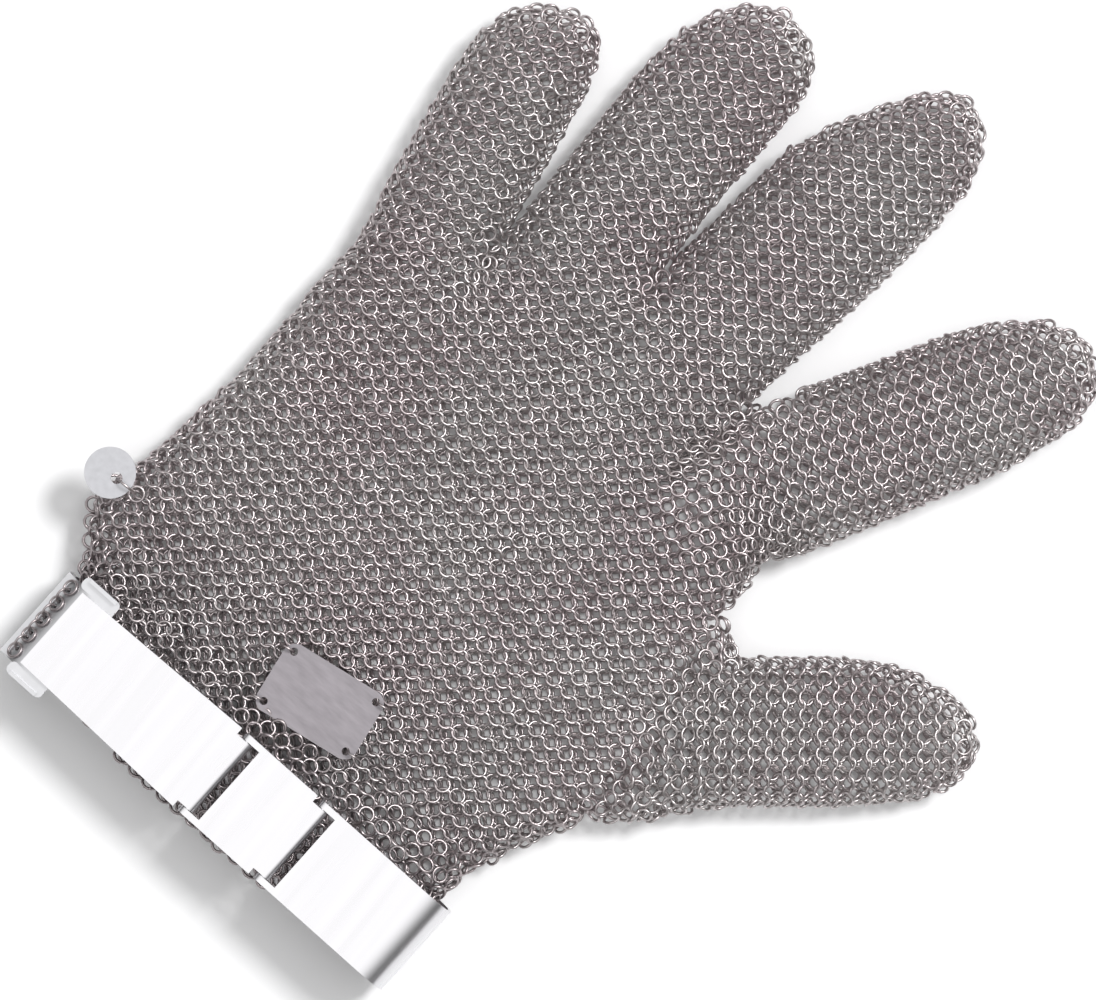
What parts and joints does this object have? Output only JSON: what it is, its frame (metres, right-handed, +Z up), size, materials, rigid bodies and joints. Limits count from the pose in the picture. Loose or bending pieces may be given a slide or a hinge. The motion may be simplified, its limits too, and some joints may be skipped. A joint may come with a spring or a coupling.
{
  "type": "ring-mesh safety glove",
  "caption": "Five-fingered glove of welded steel ring mesh with a hinged steel strap closing the cuff; guards the hand against knife cuts.",
  "frame": {"origin": "on the resting surface, under the middle of the cuff, where the mesh leaves the wrist band", "axes": "+X across the hand towards the thumb, +Y from the cuff towards the fingertips, +Z up out of the palm"},
  "size_m": [0.1963, 0.2351, 0.0222],
  "materials": {
    "ring_mesh": "tumbled stainless wire",
    "mesh_wire": "tumbled stainless wire",
    "polished_strip": "bright rolled stainless strip",
    "satin_label": "fine satin",
    "disc_steel": "stamped, light scratches"
  },
  "bodies": {
    "hand": {"mail_palm": "ring_mesh", "mail_back": "ring_mesh", "label_plate": "satin_label", "label_rings": "mesh_wire", "disc_ring": "mesh_wire"},
    "cuff": {"mail_cuff": "ring_mesh", "wrist_band": "polished_strip", "anchor_plate": "polished_strip", "anchor_rings": "mesh_wire"},
    "link": {"adjust_link": "polished_strip"},
    "clasp": {"clasp_plate": "polished_strip"},
    "disc": {"size_disc": "disc_steel"},
    "thumb_base": {"thumb_base": "ring_mesh"},
    "thumb_first": {"thumb_first": "ring_mesh"},
    "thumb_tip": {"thumb_tip": "ring_mesh"},
    "little_first": {"little_first": "ring_mesh"},
    "little_second": {"little_second": "ring_mesh"},
    "little_tip": {"little_tip": "ring_mesh"},
    "ring_first": {"ring_first": "ring_mesh"},
    "ring_second": {"ring_second": "ring_mesh"},
    "ring_tip": {"ring_tip": "ring_mesh"},
    "middle_first": {"middle_first": "ring_mesh"},
    "middle_second": {"middle_second": "ring_mesh"},
    "middle_tip": {"middle_tip": "ring_mesh"},
    "index_first": {"index_first": "ring_mesh"},
    "index_second": {"index_second": "ring_mesh"},
    "index_tip": {"index_tip": "ring_mesh"}
  },
  "joints": [
    {"name": "wrist_flex", "type": "hinge", "parent": "hand", "child": "cuff", "pos_m": [0, 0.0025, 0.008], "axis": [1, 0, 0], "range_deg": [-30, 30]},
    {"name": "link_swing", "type": "hinge", "parent": "cuff", "child": "link", "pos_m": [0.02051, -0.01207, 0.0203], "axis": [0.0419, 0.9991, 0], "range_deg": [0, 80]},
    {"name": "clasp_swing", "type": "hinge", "parent": "link", "child": "clasp", "pos_m": [-0.00187, -0.01113, 0.0203], "axis": [0.0419, 0.9991, 0], "range_deg": [0, 90]},
    {"name": "disc_swing", "type": "hinge", "parent": "hand", "child": "disc", "pos_m": [-0.0584, 0.0254, 0.0165], "axis": [0, 1, 0], "range_deg": [0, 60]},
    {"name": "little_knuckle", "type": "hinge", "parent": "hand", "child": "little_first", "pos_m": [-0.0425, 0.118, 0.0075], "axis": [0.9962, 0.0872, 0], "range_deg": [0, 75]},
    {"name": "little_mid_bend", "type": "hinge", "parent": "little_first", "child": "little_second", "pos_m": [-0.04587, 0.13812, 0.0075], "axis": [0.9863, 0.165, 0], "range_deg": [0, 90]},
    {"name": "little_tip_bend", "type": "hinge", "parent": "little_second", "child": "little_tip", "pos_m": [-0.04856, 0.15422, 0.0075], "axis": [0.9863, 0.165, 0], "range_deg": [0, 60]},
    {"name": "ring_knuckle", "type": "hinge", "parent": "hand", "child": "ring_first", "pos_m": [-0.0125, 0.129, 0.0075], "axis": [1, 0, 0], "range_deg": [0, 75]},
    {"name": "ring_mid_bend", "type": "hinge", "parent": "ring_first", "child": "ring_second", "pos_m": [-0.01298, 0.1566, 0.0075], "axis": [0.9998, 0.0175, 0], "range_deg": [0, 90]},
    {"name": "ring_tip_bend", "type": "hinge", "parent": "ring_second", "child": "ring_tip", "pos_m": [-0.01337, 0.17867, 0.0075], "axis": [0.9998, 0.0175, 0], "range_deg": [0, 60]},
    {"name": "middle_knuckle", "type": "hinge", "parent": "hand", "child": "middle_first", "pos_m": [0.0215, 0.135, 0.0075], "axis": [0.9986, -0.0523, 0], "range_deg": [0, 75]},
    {"name": "middle_mid_bend", "type": "hinge", "parent": "middle_first", "child": "middle_second", "pos_m": [0.02485, 0.16441, 0.0075], "axis": [0.9936, -0.1132, 0], "range_deg": [0, 90]},
    {"name": "middle_tip_bend", "type": "hinge", "parent": "middle_second", "child": "middle_tip", "pos_m": [0.02753, 0.18794, 0.0075], "axis": [0.9936, -0.1132, 0], "range_deg": [0, 60]},
    {"name": "index_knuckle", "type": "hinge", "parent": "hand", "child": "index_first", "pos_m": [0.056, 0.123, 0.0075], "axis": [0.9659, -0.2588, 0], "range_deg": [0, 75]},
    {"name": "index_mid_bend", "type": "hinge", "parent": "index_first", "child": "index_second", "pos_m": [0.0692, 0.14633, 0.0075], "axis": [0.8704, -0.4924, 0], "range_deg": [0, 90]},
    {"name": "index_tip_bend", "type": "hinge", "parent": "index_second", "child": "index_tip", "pos_m": [0.07975, 0.16499, 0.0075], "axis": [0.8704, -0.4924, 0], "range_deg": [0, 60]},
    {"name": "thumb_fold", "type": "hinge", "parent": "hand", "child": "thumb_base", "pos_m": [0.06425, 0.0605, 0.0075], "axis": [0.1174, -0.9931, 0], "range_deg": [0, 45]},
    {"name": "thumb_knuckle", "type": "hinge", "parent": "thumb_base", "child": "thumb_first", "pos_m": [0.0815, 0.069, 0.0075], "axis": [0.6225, -0.7826, 0], "range_deg": [0, 40]},
    {"name": "thumb_tip_bend", "type": "hinge", "parent": "thumb_first", "child": "thumb_tip", "pos_m": [0.1039, 0.08682, 0.0075], "axis": [0.6225, -0.7826, 0], "range_deg": [0, 60]}
  ],
  "couplings": [
    {"joint": "little_tip_bend", "follows": "little_mid_bend", "ratio": 0.66667},
    {"joint": "ring_tip_bend", "follows": "ring_mid_bend", "ratio": 0.66667},
    {"joint": "middle_tip_bend", "follows": "middle_mid_bend", "ratio": 0.66667},
    {"joint": "index_tip_bend", "follows": "index_mid_bend", "ratio": 0.66667}
  ]
}
